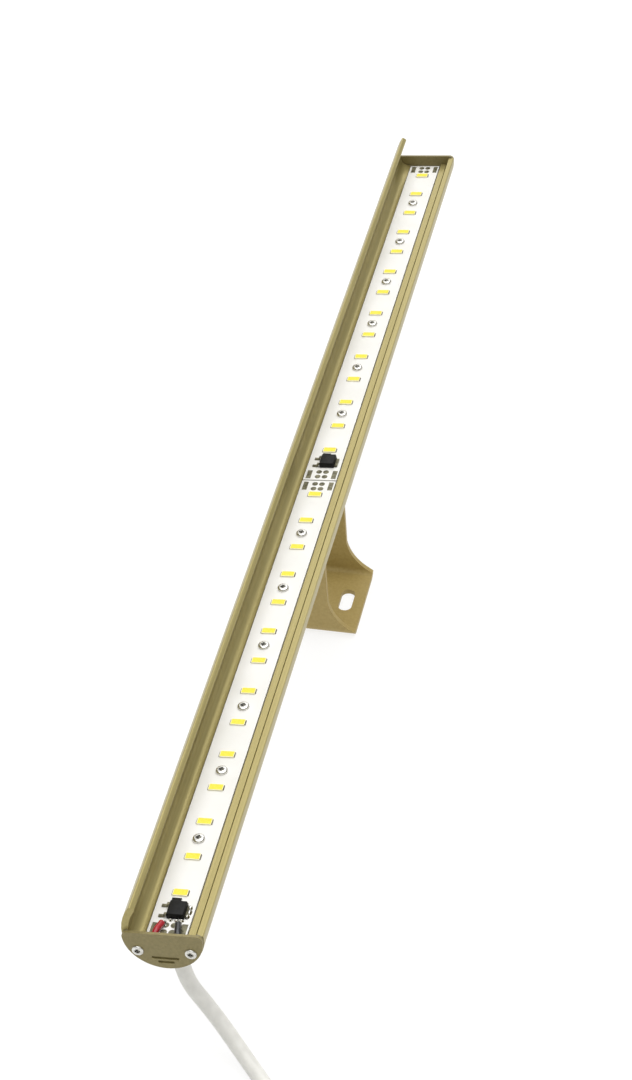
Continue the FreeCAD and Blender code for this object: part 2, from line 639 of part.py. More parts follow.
def make_pivot():
    axis = (NONE, z.axis_rise)
    centre = (NONE, -pivot_depth)
    shoulder = z.axis_rise - leg(z.belly_radius, block_half)
    block = new_body("pivot_block")
    loop = [
        ((NONE, -pivot_depth - block_half), block_half, centre),
        ((block_half, -pivot_depth), block_half, centre),
        (block_half, shoulder),
        ((-block_half, shoulder), z.belly_radius, axis),
        (-block_half, -pivot_depth),
    ]
    sk = outline(block, "YZ_Plane", -z.block_length / 2, loop)
    pad(block, sk, z.block_length)
    half = z.block_length / 2
    for sign in (1, -1):
        sk = circles(block, "YZ_Plane", (half + z.overrun) * sign, [centre], z.bolt_radius)
        pocket(block, sk, z.pivot_engage + z.pilot_spare + z.overrun, sign < 0)
    places = [(block_screw_side, NONE), (-block_screw_side, NONE)]
    foot = -pivot_depth - block_half
    seat = belly_bottom - z.block_seat_thick
    sk = circles(block, "XY_Plane", foot - z.overrun, places,
                 z.bolt_radius + z.bolt_clearance)
    pocket(block, sk, z.block_width + z.pivot_gap + z.overrun, True)
    sk = circles(block, "XY_Plane", foot - z.overrun, places,
                 z.block_head_radius + z.head_clearance)
    pocket(block, sk, seat - foot + z.overrun, True)
    keep(block, LIGHT)

    screws = new_body("block_screws")
    sk = circles(screws, "XY_Plane", seat, places, z.bolt_radius)
    pad(screws, sk, cavity_bottom + z.nut_plate_thick + z.block_screw_tip - seat)
    sk = circles(screws, "XY_Plane", seat - z.block_head_rise, places, z.block_head_radius)
    pad(screws, sk, z.block_head_rise)
    sk = circles(screws, "XY_Plane", seat - z.block_head_rise - z.overrun, places,
                 z.hex_pit_radius)
    pocket(screws, sk, z.hex_pit_depth + z.overrun, True)
    keep(screws, LIGHT)

    plate = new_body("nut_plate")
    half_plate = z.nut_plate_width / 2
    plate_side = z.axis_rise - leg(shell_inner, half_plate)
    plate_top = cavity_bottom + z.nut_plate_thick
    loop = [
        ((half_plate, plate_side), shell_inner, axis),
        (half_plate, plate_top),
        (-half_plate, plate_top),
        (-half_plate, plate_side),
    ]
    sk = outline(plate, "YZ_Plane", -z.nut_plate_length / 2, loop)
    pad(plate, sk, z.nut_plate_length)
    sk = circles(plate, "XY_Plane", cavity_bottom - z.overrun, places, z.bolt_radius)
    pocket(plate, sk, z.nut_plate_thick + z.overrun * 2, True)
    keep(plate, LIGHT)

    washer_out = cheek_outer + z.washer_thick
    spring_out = washer_out + z.spring_thick
    stack = (("pivot_washers", cheek_outer, z.washer_thick, z.washer_radius),
             ("spring_washers", washer_out, z.spring_thick, z.spring_radius))
    for label, start, thick, radius in stack:
        body = new_body(label)
        for sign in (1, -1):
            sk = circles(body, "YZ_Plane", start * sign, [centre], radius)
            pad(body, sk, thick, sign < 0)
            sk = circles(body, "YZ_Plane", (start - z.overrun) * sign, [centre],
                         z.bolt_radius + z.washer_clearance)
            pocket(body, sk, thick + z.overrun * 2, sign > 0)
        keep(body, LIGHT)
    bolts = new_body("pivot_screws")
    for sign in (1, -1):
        tip = half - z.pivot_engage
        sk = circles(bolts, "YZ_Plane", tip * sign, [centre], z.bolt_radius)
        pad(bolts, sk, spring_out - tip, sign < 0)
        sk = circles(bolts, "YZ_Plane", spring_out * sign, [centre], z.pivot_head_radius)
        pad(bolts, sk, z.pivot_head_rise, sign < 0)
        sk = circles(bolts, "YZ_Plane",
                     (spring_out + z.pivot_head_rise - z.hex_pit_depth) * sign,
                     [centre], z.hex_pit_radius)
        pocket(bolts, sk, z.hex_pit_depth + z.overrun, sign > 0)
    outer = spring_out + z.pivot_head_rise

    def on_head(edge, middle):
        flat = abs(abs(middle.x) - outer.mm) < 1e-3
        return flat and edge.Curve.Radius > z.hex_pit_radius.mm * 1.2

    round_edges(bolts, on_head, z.head_edge_round)
    keep(bolts, LIGHT)


# The bracket: one strip folded into a U, with waisted cheeks and two long slots in its base.


def make_bracket():
    body = new_body("mounting_bracket")
    top = z.pivot_height + z.eye_radius
    outer_bend = z.bend_radius + z.sheet_thick
    bend_side = cheek_outer - outer_bend
    loop = [
        (-cheek_outer, outer_bend),
        ((-bend_side, NONE), outer_bend, (-bend_side, outer_bend)),
        (bend_side, NONE),
        ((cheek_outer, outer_bend), outer_bend, (bend_side, outer_bend)),
        (cheek_outer, top),
        (cheek_inner, top),
        (cheek_inner, outer_bend),
        ((bend_side, z.sheet_thick), z.bend_radius, (bend_side, outer_bend)),
        (-bend_side, z.sheet_thick),
        ((-cheek_inner, outer_bend), z.bend_radius, (-bend_side, outer_bend)),
        (-cheek_inner, top),
        (-cheek_outer, top),
    ]
    sk = outline(body, "XZ_Plane", -z.base_half_width, loop)
    pad(body, sk, z.base_half_width * 2)

    # The cheek's edge: a flare from the base, a slim neck and a round eye.
    eye = (NONE, z.pivot_height)
    neck_top = z.pivot_height - leg(z.eye_radius, z.neck_half_top)
    spread = z.base_half_width - z.neck_half_foot
    flare_foot = z.sheet_thick + z.flare_lift
    neck_foot = z.sheet_thick + z.neck_lift
    climb = z.neck_lift - z.flare_lift
    for sign in (1, -1):
        chord = math.hypot(spread.mm, climb.mm)
        sag = math.sqrt(z.flare_radius.mm ** 2 - (chord / 2) ** 2)
        middle_y = (z.base_half_width.mm + z.neck_half_foot.mm) / 2
        middle_z = (neck_foot.mm + flare_foot.mm) / 2
        flare = (Size((middle_y + climb.mm / chord * sag) * sign, ""),
                 Size(middle_z + spread.mm / chord * sag, ""))
        edge = (z.base_half_width + z.overrun) * sign
        loop = [
            ((z.neck_half_foot * sign, neck_foot), z.flare_radius, flare),
            (z.neck_half_top * sign, neck_top),
            ((z.eye_radius * sign, z.pivot_height), z.eye_radius, eye),
            ((NONE, top), z.eye_radius, eye),
            (NONE, top + z.overrun),
            (edge, top + z.overrun),
            (edge, flare_foot),
            (z.base_half_width * sign, flare_foot),
        ]
        sk = outline(body, "YZ_Plane", cheek_outer + z.overrun, loop)
        pocket(body, sk, (cheek_outer + z.overrun) * 2)
    sk = circles(body, "YZ_Plane", cheek_outer + z.overrun, [eye],
                 z.bolt_radius + z.pin_clearance)
    pocket(body, sk, (cheek_outer + z.overrun) * 2)
    end = z.slot_width / 2
    flat = z.slot_length / 2 - end
    for side in (z.slot_side, -z.slot_side):
        loop = [
            (flat, side - end),
            ((flat + end, side), end, (flat, side)),
            ((flat, side + end), end, (flat, side)),
            (-flat, side + end),
            ((-flat - end, side), end, (-flat, side)),
            ((-flat, side - end), end, (-flat, side)),
        ]
        sk = outline(body, "XY_Plane", z.sheet_thick + z.overrun, loop)
        pocket(body, sk, z.sheet_thick + z.overrun * 2)
    return keep(body, FLOOR)


# Cables and wires: straight runs and tangent arcs, swept as one tube.


def arc_middle(start, corner, end):
    """The middle of the arc that leaves start for the corner and arrives at end."""
    chord = (start + end) * 0.5
    half = (corner - start).getAngle(end - corner) / 2
    reach = (corner - start).Length
    radius = reach / math.tan(half)
    inside = (chord - corner).normalize()
    return corner + inside * (radius / math.cos(half) - radius)


def rounded(points, name, radius):
    """Edges along points, each turn as large as its two runs allow."""
    edges = []
    here = points[0]
    for n in range(1, len(points) - 1):
        back = points[n - 1] - points[n]
        on = points[n + 1] - points[n]
        half = (-back).getAngle(on) / 2
        reach = TURN_SHARE * min(back.Length, on.Length)
        print("%s turn %d: radius %.1f mm, %.1f diameters"
              % (name, n, reach / math.tan(half), reach / math.tan(half) / radius / 2))
        a = points[n] + back * (reach / back.Length)
        b = points[n] + on * (reach / on.Length)
        edges.append(Part.LineSegment(here, a).toShape())
        edges.append(Part.Arc(a, arc_middle(a, points[n], b), b).toShape())
        here = b
    edges.append(Part.LineSegment(here, points[-1]).toShape())
    return edges


def tube(edges, radius, name):
    path = Part.Wire(edges)
    first = path.Edges[0]
    start = first.valueAt(first.FirstParameter)
    way = first.tangentAt(first.FirstParameter)
    ring = Part.Wire([Part.Circle(start, way, radius).toShape()])
    solid = path.makePipeShell([ring], True, False)
    print("%s: length %.1f mm, volume %.1f, section by length %.1f"
          % (name, path.Length, solid.Volume, math.pi * radius ** 2 * path.Length))
    return solid


def make_cable():
    radius = z.cable_radius.mm
    start = LIGHT.multVec(FreeCAD.Vector(cable_x.mm, 0, cavity_bottom.mm
                                         + z.cable_end_depth.mm))
    points = [start] + [FreeCAD.Vector(*p) for p in CABLE_ROUTE]
    shape = tube(rounded(points, "cable_drop", radius), radius, "cable_drop")
    make_feature("cable_drop", shape, FLOOR)

    # The coil: two turns drawn in on the floor, one climb, and back out on top.
    begin = FreeCAD.Vector(*COIL_START)
    along = FreeCAD.Vector(1, 0, 0)
    edges = [Part.LineSegment(points[-1], begin).toShape()]
    here = begin
    side = 1
    radii = [z.coil_radius.mm, z.coil_radius.mm - z.coil_step.mm,
             z.coil_radius.mm - z.coil_step.mm * 2, z.coil_radius.mm - z.coil_step.mm]
    climbs = [0, 0, z.coil_layer.mm, 0]
    for reach, climb in zip(radii, climbs):
        there = here + FreeCAD.Vector(0, -2 * reach * side, climb)
        d = (there - here).Length / 2
        one = here + along * (d * side)
        two = there + along * (d * side)
        joint = (one + two) * 0.5
        for a, corner, b in ((here, one, joint), (joint, two, there)):
            edges.append(Part.Arc(a, arc_middle(a, corner, b), b).toShape())
        here = there
        side = -side
    finish = here + along * z.coil_straight.mm
    edges.append(Part.LineSegment(here, finish).toShape())
    shape = tube(edges, radius, "cable_coil")
    make_feature("cable_coil", shape, FLOOR)
    least_gap(edges, radius)

    points = [finish] + [FreeCAD.Vector(*p) for p in TAIL_ROUTE]
    shape = tube(rounded(points, "cable_tail", radius), radius, "cable_tail")
    make_feature("cable_tail", shape, FLOOR)

    # The tie: a band round the two turns that lie on top of each other, with a small head.
    body = new_body("cable_tie")
    far_side = leg(z.coil_radius - z.coil_step, z.coil_step)
    inner = z.cable_radius + z.tie_play
    height = z.cable_radius * 2 + z.coil_layer
    sk = rectangle(body, "XZ_Plane", -z.tie_width / 2, -far_side - inner - z.tie_thick,
                   -far_side + inner + z.tie_thick, NONE, height + z.tie_thick * 2)
    pad(body, sk, z.tie_width)
    sk = rectangle(body, "XZ_Plane", z.tie_width / 2 + z.overrun, -far_side - inner,
                   -far_side + inner, z.tie_thick, z.tie_thick + height)
    pocket(body, sk, z.tie_width + z.overrun * 2)
    sk = rectangle(body, "XZ_Plane", -z.tie_head / 2, -far_side - z.tie_head / 2,
                   -far_side + z.tie_head / 2, height + z.tie_thick * 2,
                   height + z.tie_thick * 2 + z.tie_head / 2)
    pad(body, sk, z.tie_head)
    low = begin.z - radius - z.tie_thick.mm
    place = FreeCAD.Vector(begin.x, begin.y - z.coil_radius.mm, low)
    keep(body, FreeCAD.Placement(place, FreeCAD.Rotation()))


def least_gap(edges, radius):
    """Print how close the coil comes to itself, on points along it."""
    points = []
    run = 0.0
    for edge in edges:
        steps = max(2, int(edge.Length / z.coil_check_step.mm))
        for n in range(steps):
            a, b = edge.ParameterRange
            points.append((run + edge.Length * n / steps, edge.valueAt(a + (b - a) * n / steps)))
        run += edge.Length
    least = 1e9
    for n, (s, p) in enumerate(points):
        for t, q in points[n + 1:]:
            if t - s > 8 * radius:
                least = min(least, (p - q).Length - 2 * radius)
    print("cable_coil: least gap to itself %.2f mm" % least)


def make_plug():
    end = TAIL_ROUTE[-1]
    body = new_body("connector_body")
    taper_end = z.plug_taper_length
    body_end = taper_end + z.plug_body_length
    tip = body_end + z.plug_shroud_length
    bore = z.plug_shroud_radius - z.plug_shroud_wall
    loop = [
        (z.plug_taper_length, z.plug_shroud_radius),
        (taper_end, z.plug_radius),
        (body_end, z.plug_radius),
        (body_end, z.plug_shroud_radius),
        (tip, z.plug_shroud_radius),
        (tip, bore),
        (body_end, bore),
        (body_end, NONE),
        (NONE, NONE),
        (NONE, z.plug_taper_radius),
    ]
    turned(body, outline(body, "XY_Plane", NONE, loop), "X_Axis")
    groove = z.plug_radius - z.plug_rib_depth
    first = taper_end + z.plug_rib_pitch
    sk = new_sketch(body, "YZ_Plane", first)
    for radius in (z.plug_radius + z.overrun, groove):
        gi = sk.addGeometry(Part.Circle(FreeCAD.Vector(), FreeCAD.Vector(0, 0, 1), radius.mm))
        c = sk.addConstraint(Sketcher.Constraint("Radius", gi, radius.mm))
        sk.setExpression("Constraints[%d]" % c, radius.text)
        sk.addConstraint(Sketcher.Constraint("Coincident", gi, 3, -1, 1))
    cut = pocket(body, sk, z.plug_rib_width, True)
    row_of(body, [cut], "X_Axis", z.plug_rib_pitch, GRIP_RIBS)
    place = FreeCAD.Placement(FreeCAD.Vector(*end), FreeCAD.Rotation())
    keep(body, place)
    pins = new_body("connector_pins")
    sk = circles(pins, "YZ_Plane", body_end, [(z.pin_side, NONE), (-z.pin_side, NONE)],
                 z.pin_radius)
    pad(pins, sk, z.pin_length)
    keep(pins, place)


def make_wires():
    """Two wires from the cable's end, through the notch and over the board's end."""
    radius = z.wire_radius.mm
    floor = cavity_top.mm - z.wire_ceiling_gap.mm - radius
    drop_x = half_profile.mm - z.wire_room.mm / 2
    for label, side, outer, inner, run in WIRE_ROUTES:
        root = side * z.wire_side.mm
        points = [
            FreeCAD.Vector(cable_x.mm, root, cavity_bottom.mm + z.cable_end_depth.mm),
            FreeCAD.Vector(cable_x.mm, root, floor),
            FreeCAD.Vector(drop_x, side * outer, floor),
            FreeCAD.Vector(drop_x, side * outer, z.wire_over_board.mm),
            FreeCAD.Vector(drop_x - run, side * inner, radius + z.wire_on_board.mm),
        ]
        shape = tube(rounded(points, label, radius), radius, label)
        make_feature(label, shape, LIGHT)


def make_grommet():
    body = new_body("cable_grommet")
    flange = grommet_neck + z.grommet_flange_reach
    lip_radius = grommet_neck + z.grommet_lip_reach
    lip = z.axis_rise - leg(shell_inner, lip_radius) + z.grommet_lip_gap
    loop = [
        (cable_x + grommet_bore, belly_bottom - z.grommet_flange_thick),
        (cable_x + flange, belly_bottom - z.grommet_flange_thick),
        (cable_x + flange, belly_bottom),
        (cable_x + grommet_neck, belly_bottom),
        (cable_x + grommet_neck, lip),
        (cable_x + lip_radius, lip),
        (cable_x + grommet_bore, lip + z.grommet_lip_thick),
    ]
    sk = outline(body, "XZ_Plane", NONE, loop)
    line = sk.addGeometry(Part.LineSegment(
        FreeCAD.Vector(cable_x.mm, belly_bottom.mm, 0),
        FreeCAD.Vector(cable_x.mm, cavity_bottom.mm, 0)), True)
    fix_point(sk, line, 1, (cable_x, belly_bottom))
    fix_point(sk, line, 2, (cable_x, cavity_bottom))
    feature = body.newObject("PartDesign::Revolution", "Turned")
    feature.Profile = sk
    feature.ReferenceAxis = (sk, ["Axis0"])
    feature.Angle = 360.0
    body.Tip = feature
    keep(body, LIGHT)


make_bracket()
make_profile()
make_ends("near", 1)
make_ends("far", -1)
make_board("far", far_board)
make_board("near", near_board)
make_pivot()
make_grommet()
make_wires()
make_cable()
make_plug()

doc.recompute()
for obj in doc.Objects:
    if "Invalid" in obj.State or "Error" in obj.State:
        raise RuntimeError("%s did not build: %s" % (obj.Label, obj.State))
for obj in pieces:
    shape = obj.Shape
    if shape.isNull() or not shape.isValid() or not shape.Solids:
        raise RuntimeError("%s has no sound solid" % obj.Label)
for obj in pieces:
    obj.Shape.exportStep("parts/%s.step" % obj.Label)
    print("%-22s %2d solids %9.1f mm3" % (obj.Label, len(obj.Shape.Solids), obj.Shape.Volume))
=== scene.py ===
import math

import bmesh
import bpy
from mathutils import Matrix, Vector


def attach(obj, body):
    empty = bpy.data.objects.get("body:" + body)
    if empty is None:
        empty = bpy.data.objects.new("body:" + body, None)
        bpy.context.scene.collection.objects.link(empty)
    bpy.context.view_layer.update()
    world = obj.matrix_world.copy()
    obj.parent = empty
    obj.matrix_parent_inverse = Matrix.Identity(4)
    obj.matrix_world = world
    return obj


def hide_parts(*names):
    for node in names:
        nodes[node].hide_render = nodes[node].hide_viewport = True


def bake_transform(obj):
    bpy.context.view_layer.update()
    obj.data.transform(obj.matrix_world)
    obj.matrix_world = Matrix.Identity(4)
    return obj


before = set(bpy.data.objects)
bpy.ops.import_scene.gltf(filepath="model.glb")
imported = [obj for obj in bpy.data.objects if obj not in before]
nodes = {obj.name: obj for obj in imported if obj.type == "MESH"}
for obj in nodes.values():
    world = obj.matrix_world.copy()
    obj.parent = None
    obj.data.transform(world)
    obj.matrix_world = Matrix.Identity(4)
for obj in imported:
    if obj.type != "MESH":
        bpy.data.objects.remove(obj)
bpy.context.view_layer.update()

# Camera. The photograph looks down the light from above its cable end, a little from the
# right, through a long lens whose middle lies close to the middle of the picture.

CAMERA_PLACE = (0.79894, 0.17839, 0.67916)
CAMERA_TURNS = (51.816, 1.634, 101.710)
camera_data = bpy.data.cameras.new("camera")
camera_data.lens = 86.55
camera_data.shift_x = 0.0052
camera_data.shift_y = -0.0061
camera = bpy.data.objects.new("camera", camera_data)
camera.location = CAMERA_PLACE
camera.rotation_euler = [math.radians(turn) for turn in CAMERA_TURNS]
bpy.context.scene.collection.objects.link(camera)
bpy.context.scene.camera = camera

# Mounting bracket. Folded sheet metal in a satin gold finish: a foot with two slots for the
# fixing screws and two cheeks that narrow to the pivot's eyes.

MM = 0.001
EVEN = (1, 1, 1)
# Most of a noise lies between these two.
NOISE_LOW = 0.3
NOISE_HIGH = 0.7


def srgb(red, green, blue):
    """A colour that is given as it looks, from 0 to 255, as linear light."""
    shares = [c / 255 for c in (red, green, blue)]
    return [c / 12.92 if c <= 0.04045 else ((c + 0.055) / 1.055) ** 2.4 for c in shares]


def new_material(name, colour, roughness, metallic=0.0, **others):
    material = bpy.data.materials.new(name)
    material.use_nodes = True
    shader = material.node_tree.nodes["Principled BSDF"]
    shader.inputs["Base Color"].default_value = (*srgb(*colour), 1)
    shader.inputs["Roughness"].default_value = roughness
    shader.inputs["Metallic"].default_value = metallic
    for socket, value in others.items():
        shader.inputs[socket.replace("_", " ")].default_value = value
    return material


def add_noise(material, squeeze, scale, detail=4.0):
    """A noise on the piece's own coordinates, squeezed by a factor along each axis."""
    tree = material.node_tree
    place = tree.nodes.new("ShaderNodeTexCoord")
    mapping = tree.nodes.new("ShaderNodeMapping")
    mapping.inputs["Scale"].default_value = squeeze
    noise = tree.nodes.new("ShaderNodeTexNoise")
    noise.inputs["Scale"].default_value = scale
    noise.inputs["Detail"].default_value = detail
    tree.links.new(place.outputs["Object"], mapping.inputs["Vector"])
    tree.links.new(mapping.outputs["Vector"], noise.inputs["Vector"])
    return noise.outputs["Fac"]


def colour_by(material, fac, low_colour, high_colour, low=NOISE_LOW, high=NOISE_HIGH):
    tree = material.node_tree
    ramp = tree.nodes.new("ShaderNodeValToRGB")
    ramp.color_ramp.elements[0].position = low
    ramp.color_ramp.elements[0].color = (*srgb(*low_colour), 1)
    ramp.color_ramp.elements[1].position = high
    ramp.color_ramp.elements[1].color = (*srgb(*high_colour), 1)
    tree.links.new(fac, ramp.inputs["Fac"])
    tree.links.new(ramp.outputs["Color"], tree.nodes["Principled BSDF"].inputs["Base Color"])


def roughness_by(material, fac, low, high):
    tree = material.node_tree
    span = tree.nodes.new("ShaderNodeMapRange")
    span.inputs["From Min"].default_value = NOISE_LOW
    span.inputs["From Max"].default_value = NOISE_HIGH
    span.inputs["To Min"].default_value = low
    span.inputs["To Max"].default_value = high
    tree.links.new(fac, span.inputs["Value"])
    tree.links.new(span.outputs["Result"], tree.nodes["Principled BSDF"].inputs["Roughness"])


def bump_by(material, fac, height):
    tree = material.node_tree
    bump = tree.nodes.new("ShaderNodeBump")
    bump.inputs["Distance"].default_value = height
    tree.links.new(fac, bump.inputs["Height"])
    tree.links.new(bump.outputs["Normal"], tree.nodes["Principled BSDF"].inputs["Normal"])


def dress(material, *names):
    for name in names:
        for slot in nodes[name].material_slots:
            slot.material = material


bracket_gold = new_material("bracket_gold", (160, 139, 80), roughness=0.5)
bracket_grain = add_noise(bracket_gold, EVEN, scale=900)
colour_by(bracket_gold, bracket_grain, (154, 133, 74), (166, 145, 86))
roughness_by(bracket_gold, bracket_grain, 0.44, 0.58)
bump_by(bracket_gold, bracket_grain, 0.04 * MM)
dress(bracket_gold, "mounting_bracket")

# Pivot. An anodised block under the light, held to a nut plate inside the channel by two socket
# screws, and clamped between the bracket's cheeks by a screw with two washers on each side.

BLOCK_SQUEEZE = (6, 160, 160)
block_gold = new_material("block_gold", (172, 160, 110), roughness=0.42, metallic=0.4)
block_lines = add_noise(block_gold, BLOCK_SQUEEZE, scale=6)
colour_by(block_gold, block_lines, (164, 151, 102), (180, 168, 119))
roughness_by(block_gold, block_lines, 0.36, 0.5)
dress(block_gold, "pivot_block")

plated_steel = new_material("plated_steel", (196, 196, 192), roughness=0.3, metallic=1.0)
plating = add_noise(plated_steel, EVEN, scale=1400)
colour_by(plated_steel, plating, (178, 178, 174), (210, 210, 206))
roughness_by(plated_steel, plating, 0.22, 0.38)
dress(plated_steel, "pivot_screws", "pivot_washers", "spring_washers", "block_screws", "nut_plate")

# Channel. One aluminium extrusion: the round belly, the grooved ledge and rim on the right and
# the tall fin on the left. The die leaves fine lines along it, under a satin gold anodising.

DIE_SQUEEZE = (3, 260, 260)
channel_gold = new_material("channel_gold", (160, 148, 96), roughness=0.36, metallic=0.55)
die_lines = add_noise(channel_gold, DIE_SQUEEZE, scale=5, detail=6.0)
colour_by(channel_gold, die_lines, (153, 141, 89), (167, 155, 103))
roughness_by(channel_gold, die_lines, 0.3, 0.42)
bump_by(channel_gold, die_lines, 0.03 * MM)
dress(channel_gold, "profile_body")

# End caps. Thin anodised plates with two shallow slots each, which close the channel's ends.
# They are screwed against soft gaskets that keep the rain out.

# Their gold is set darker than the channel's, though it is the same anodising: painted shade on the
# caps' end faces.
cap_gold_painted_shade = new_material("cap_gold_painted_shade", (126, 115, 72), roughness=0.5)
cap_grain = add_noise(cap_gold_painted_shade, EVEN, scale=1100)
colour_by(cap_gold_painted_shade, cap_grain, (119, 108, 65), (133, 122, 79))
roughness_by(cap_gold_painted_shade, cap_grain, 0.44, 0.58)
bump_by(cap_gold_painted_shade, cap_grain, 0.03 * MM)
dress(cap_gold_painted_shade, "end_cap_near", "end_cap_far")

gasket_rubber = new_material("gasket_rubber", (120, 114, 92), roughness=0.7)
gasket_mottle = add_noise(gasket_rubber, EVEN, scale=800)
colour_by(gasket_rubber, gasket_mottle, (110, 104, 84), (130, 124, 102))
dress(gasket_rubber, "end_gasket_near", "end_gasket_far")

# Screws of the caps and boards. Plated pan heads with a cross recess. The light leans five
# degrees about its pivot, so all that is placed on it goes through the light's own placement.

REST_TILT = math.radians(5)
PIVOT_HEIGHT = 42 * MM
BOARD_ABOVE_PIVOT = 19.1 * MM
LIGHT = (
    Matrix.Translation((0, 0, PIVOT_HEIGHT))
    @ Matrix.Rotation(REST_TILT, 4, "X")
    @ Matrix.Translation((0, 0, BOARD_ABOVE_PIVOT))
)
SHARP_ANGLE = math.radians(35)


def on_light(x, y, z=0.0):
    """A placement in the light's own axes, in millimetres from the middle of the boards' top."""
    return LIGHT @ Matrix.Translation((x * MM, y * MM, z * MM))


def new_piece(bm, name, material, body, replaced=()):
    """A finished piece that rides on a body, with smooth faces and its sharp edges marked."""
    mesh = bpy.data.meshes.new(name)
    bm.to_mesh(mesh)
    bm.free()
    mesh.materials.append(material)
    mesh.shade_smooth()
    mesh.set_sharp_from_angle(angle=SHARP_ANGLE)
    piece = bpy.data.objects.new(name, mesh)
    bpy.context.scene.collection.objects.link(piece)
    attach(piece, body)
    if replaced:
        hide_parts(*replaced)


def repeated(single, places):
    """One bmesh with a copy of the single one at each placement."""
    mesh = bpy.data.meshes.new("single")
    single.to_mesh(mesh)
    single.free()
    row = bmesh.new()
    for place in places:
        already = len(row.verts)
        row.from_mesh(mesh)
        row.verts.ensure_lookup_table()
        bmesh.ops.transform(row, matrix=place, verts=row.verts[already:])
    bpy.data.meshes.remove(mesh)
    return row


def ring_of(bm, edges, radius_factor, drop):
    """Extrude a ring of edges, then scale it about the axis and lower it."""
    made = bmesh.ops.extrude_edge_only(bm, edges=edges)["geom"]
    verts = [g for g in made if isinstance(g, bmesh.types.BMVert)]
    bmesh.ops.scale(bm, vec=(radius_factor, radius_factor, 1), verts=verts)
    bmesh.ops.translate(bm, vec=(0, 0, -drop), verts=verts)
    return [g for g in made if isinstance(g, bmesh.types.BMEdge) and all(v in verts for v in g.verts)]


# The recess and the flat middle of a head, as shares of its radius.
RECESS_ARM_SHARE = 0.48
RECESS_HALF_WIDTH_SHARE = 0.24
RECESS_FLOOR_SHARE = 0.7
HEAD_FLAT_SHARE = 0.7
HEAD_SIDES = 24
# The dome of a head from its flat outwards: shares of its radius, and of its rise to go down.
HEAD_DOME_SHARES = ((0.86, 0.08), (0.96, 0.2), (1.0, 0.3), (1.0, 0.42))
TIP_SHARE = 0.2


def cross_screw(head_radius, head_rise, recess_depth, shank_radius, shank_length):
    """A pan head screw that points down, with the underside of its head at zero."""
    screw = bmesh.new()
    arm = head_radius * RECESS_ARM_SHARE
    half = head_radius * RECESS_HALF_WIDTH_SHARE
    cross = []
    for turn in range(4):
        spin = Matrix.Rotation(turn * math.pi / 2, 3, "Z")
        for corner in ((arm, -half, head_rise), (arm, half, head_rise), (half, half, head_rise)):
            cross.append(screw.verts.new(spin @ Vector(corner)))
    pit = screw.faces.new(cross)
    rim = list(pit.edges)
    sunk = bmesh.ops.extrude_face_region(screw, geom=[pit])["geom"]
    screw.faces.remove(pit)
    bottom = [g for g in sunk if isinstance(g, bmesh.types.BMVert)]
    bmesh.ops.translate(screw, vec=(0, 0, -recess_depth), verts=bottom)
    bmesh.ops.scale(screw, vec=(RECESS_FLOOR_SHARE, RECESS_FLOOR_SHARE, 1), verts=bottom)
    flat_radius = head_radius * HEAD_FLAT_SHARE
    ring = bmesh.ops.create_circle(screw, segments=HEAD_SIDES, radius=flat_radius)["verts"]
    bmesh.ops.translate(screw, vec=(0, 0, head_rise), verts=ring)
    edges = [edge for edge in screw.edges if all(v in ring for v in edge.verts)]
    bmesh.ops.bridge_loops(screw, edges=rim + edges)
    reached = HEAD_FLAT_SHARE
    for radius_share, drop_share in HEAD_DOME_SHARES:
        edges = ring_of(screw, edges, radius_share / reached, head_rise * drop_share)
        reached = radius_share
    edges = ring_of(screw, edges, shank_radius / head_radius, 0)
    edges = ring_of(screw, edges, 1, shank_length - shank_radius)
    edges = ring_of(screw, edges, TIP_SHARE, shank_radius)
    bmesh.ops.edgeloop_fill(screw, edges=edges)
    bmesh.ops.recalc_face_normals(screw, faces=screw.faces)
    return screw


screw_plating = new_material("screw_plating", (214, 213, 208), roughness=0.26, metallic=1.0)
screw_mottle = add_noise(screw_plating, EVEN, scale=1600)
colour_by(screw_plating, screw_mottle, (196, 195, 190), (226, 225, 220))
roughness_by(screw_plating, screw_mottle, 0.2, 0.34)

# The board screws stand midway between two LEDs, so their places follow the boards and LEDs.
BOARD_STARTS = {"far": -249.0, "near": -0.9}
BOARD_LENGTH = 247.4
LED_START = 9.25
LED_PITCH = 16.8
LEDS_PER_BOARD = 14
SCREWS_PER_BOARD = 6
FIRST_SCREW_PITCHES = 1.5
PITCHES_PER_SCREW = 2
BOARD_SCREW = {
    "head_radius": 2.15 * MM, "head_rise": 1.1 * MM, "recess_depth": 1.5 * MM,
    "shank_radius": 1.25 * MM, "shank_length": 5.0 * MM,
}
for board, start in BOARD_STARTS.items():
    first = start + LED_START + LED_PITCH * FIRST_SCREW_PITCHES
    places = [on_light(first + PITCHES_PER_SCREW * LED_PITCH * n, 0) for n in range(SCREWS_PER_BOARD)]
    new_piece(
        repeated(cross_screw(**BOARD_SCREW), places), "board_cross_screws_" + board,
        screw_plating, "light", ["board_screws_" + board],
    )

CAP_FACE = 250.4
BOSS_SIDES = (-8.9, 8.9)
BOSS_HEIGHT = -2.8
CAP_SCREW = {
    "head_radius": 2.0 * MM, "head_rise": 0.7 * MM, "recess_depth": 1.3 * MM,
    "shank_radius": 1.2 * MM, "shank_length": 7.6 * MM,
}
for end, side in (("near", 1), ("far", -1)):
    outward = Matrix.Rotation(side * math.pi / 2, 4, "Y")
    places = [on_light(side * CAP_FACE, y, BOSS_HEIGHT) @ outward for y in BOSS_SIDES]
    new_piece(
        repeated(cross_screw(**CAP_SCREW), places), "cap_cross_screws_" + end,
        screw_plating, "light", ["cap_screws_" + end],
    )

# LED boards. Aluminium plates under a white solder mask, which lie end to end in the channel.
# Tinned pads lie at both ends of each, ready for wires or for the next board.

